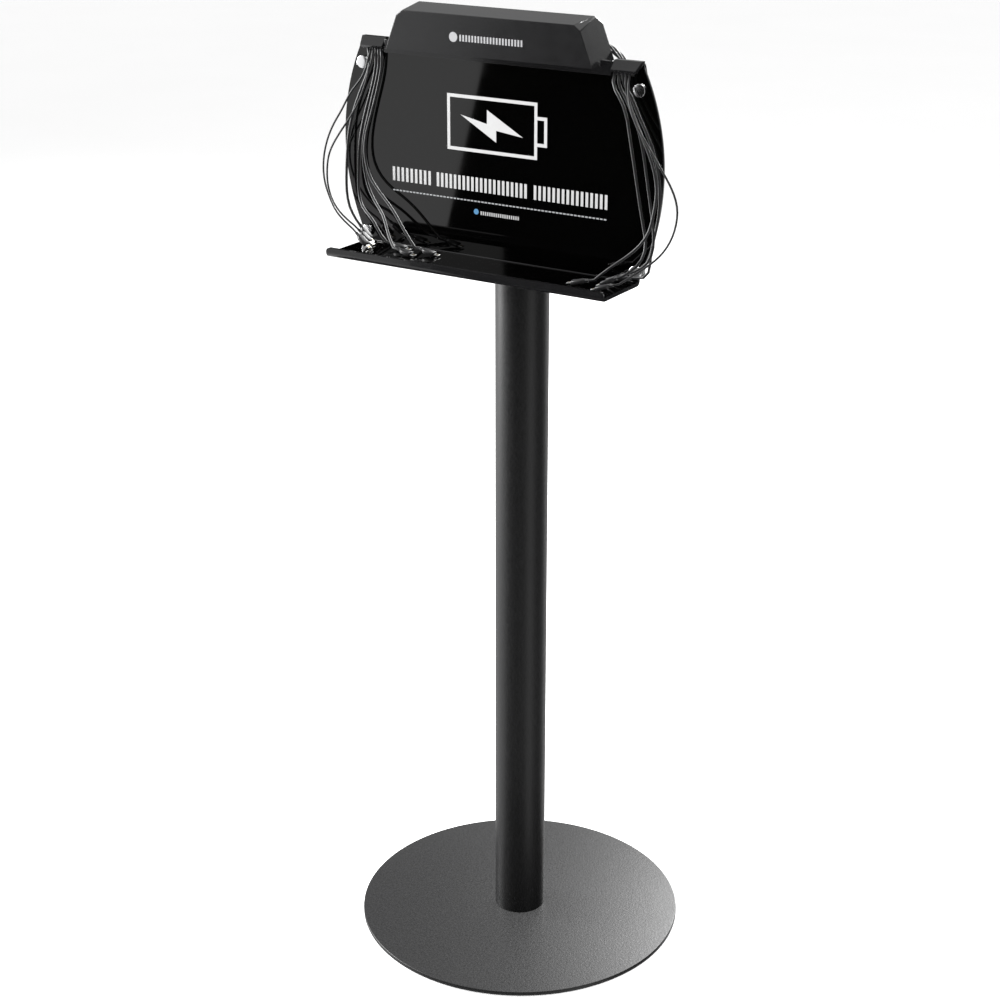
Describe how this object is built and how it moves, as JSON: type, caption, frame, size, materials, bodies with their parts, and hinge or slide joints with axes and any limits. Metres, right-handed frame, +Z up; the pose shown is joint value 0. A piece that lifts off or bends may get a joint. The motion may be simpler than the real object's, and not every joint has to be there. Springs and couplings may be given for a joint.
{
  "type": "phone charging kiosk",
  "caption": "Floor-standing phone charging kiosk: disc base, round pole, bowed glossy panel with shelf, and a hood from which charging leads hang.",
  "frame": {"origin": "on the pole's axis, on the floor under the base's pads", "axes": "+Z up along the pole; the panel, shelf and hood face -Y; +X is to the right as seen by someone facing the panel"},
  "size_m": [0.5161, 0.457, 1.2942],
  "materials": {
    "powder_coat": "fine-textured black powder coat",
    "satin_black": "satin black paint on folded steel",
    "acrylic": "polished black acrylic sheet",
    "chrome": "polished chrome",
    "zinc": "zinc-plated steel",
    "rubber": "matt black rubber",
    "plastic": "moulded black plastic",
    "lead_jacket": "smooth black cable jacket"
  },
  "bodies": {
    "kiosk": {"back_plate": "satin_black", "base_bolt": "zinc", "base_pad_front_left": "rubber", "base_pad_front_right": "rubber", "base_pad_rear_left": "rubber", "base_pad_rear_right": "rubber", "base_plate": "powder_coat", "charger": "plastic", "connector_left_1": "plastic", "connector_left_2": "plastic", "connector_left_3": "plastic", "connector_left_4": "plastic", "connector_left_5": "plastic", "connector_left_6": "plastic", "connector_right_1": "plastic", "connector_right_2": "plastic", "connector_right_3": "plastic", "connector_right_4": "plastic", "connector_right_5": "plastic", "cord_grommet": "rubber", "exit_bushing_left": "rubber", "exit_bushing_right": "rubber", "exit_guard_left": "acrylic", "exit_guard_right": "acrylic", "front_panel": "acrylic", "hood_bar": "acrylic", "hood_cover": "satin_black", "hood_screw_left": "zinc", "hood_screw_right": "zinc", "hood_tray": "satin_black", "lead_left_1": "lead_jacket", "lead_left_2": "lead_jacket", "lead_left_3": "lead_jacket", "lead_left_4": "lead_jacket", "lead_left_5": "lead_jacket", "lead_left_6": "lead_jacket", "lead_right_1": "lead_jacket", "lead_right_2": "lead_jacket", "lead_right_3": "lead_jacket", "lead_right_4": "lead_jacket", "lead_right_5": "lead_jacket", "lead_sleeve_left": "rubber", "lead_sleeve_right": "rubber", "mains_inlet": "plastic", "mount_bolt_lower": "zinc", "mount_bolt_upper": "zinc", "mount_nut_lower": "zinc", "mount_nut_upper": "zinc", "pole_cap": "plastic", "pole_foot_insert": "zinc", "pole_tube": "powder_coat", "saddle_lower": "satin_black", "saddle_upper": "satin_black", "spacer_left": "zinc", "spacer_right": "zinc", "standoff_cap_lower_left": "chrome", "standoff_cap_lower_right": "chrome", "standoff_cap_upper_left": "chrome", "standoff_cap_upper_right": "chrome"},
    "rocker": {"power_rocker": "plastic"}
  },
  "joints": [
    {"name": "rocker_hinge", "type": "hinge", "parent": "kiosk", "child": "rocker", "pos_m": [-0.0355, -0.0368, 1.2581], "axis": [1, 0, 0], "range_deg": [0, 20]}
  ]
}
